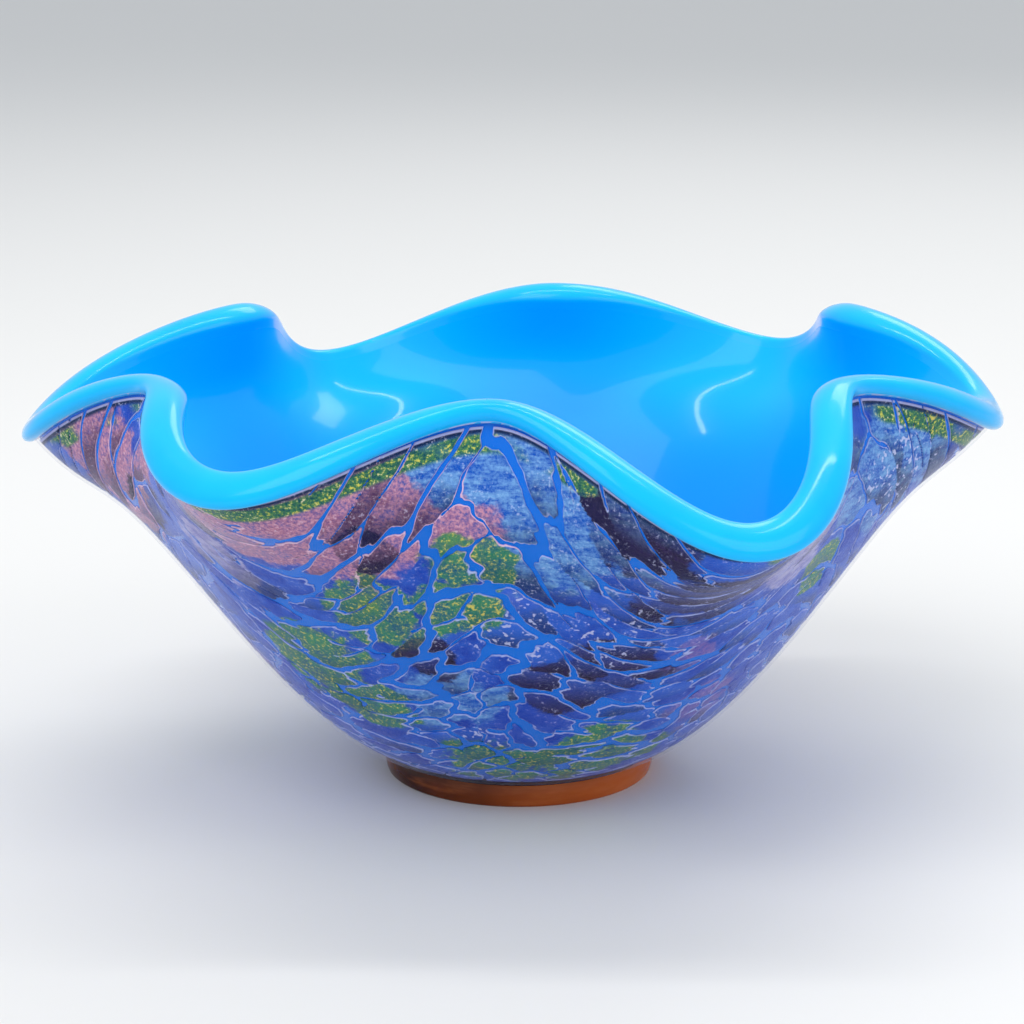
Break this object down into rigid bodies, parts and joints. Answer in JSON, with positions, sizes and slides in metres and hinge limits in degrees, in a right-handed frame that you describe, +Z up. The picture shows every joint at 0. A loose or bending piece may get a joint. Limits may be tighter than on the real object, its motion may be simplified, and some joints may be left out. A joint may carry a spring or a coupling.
{
  "type": "art glass bowl",
  "caption": "Deep round bowl of layered blue glass with a ruffled, wavy rim, a crackled coloured layer outside and a short round foot.",
  "frame": {"origin": "middle of the foot's flat underside, where the bowl rests on the table", "axes": "+Z up through the bowl's mouth; -Y towards the front of the bowl; X from side to side"},
  "size_m": [0.3056, 0.2881, 0.1427],
  "materials": {
    "blue_opal_glass": "gloss",
    "crackled_leaf_glass": "granular, under gloss",
    "clear_glass": "gloss",
    "turquoise_glass": "gloss",
    "red_brown_glass": "gloss"
  },
  "bodies": {
    "root": {"blue_lining": "blue_opal_glass", "crackle_leaf": "crackled_leaf_glass", "clear_casing": "clear_glass", "lip_wrap": "turquoise_glass", "foot": "red_brown_glass"}
  },
  "joints": []
}
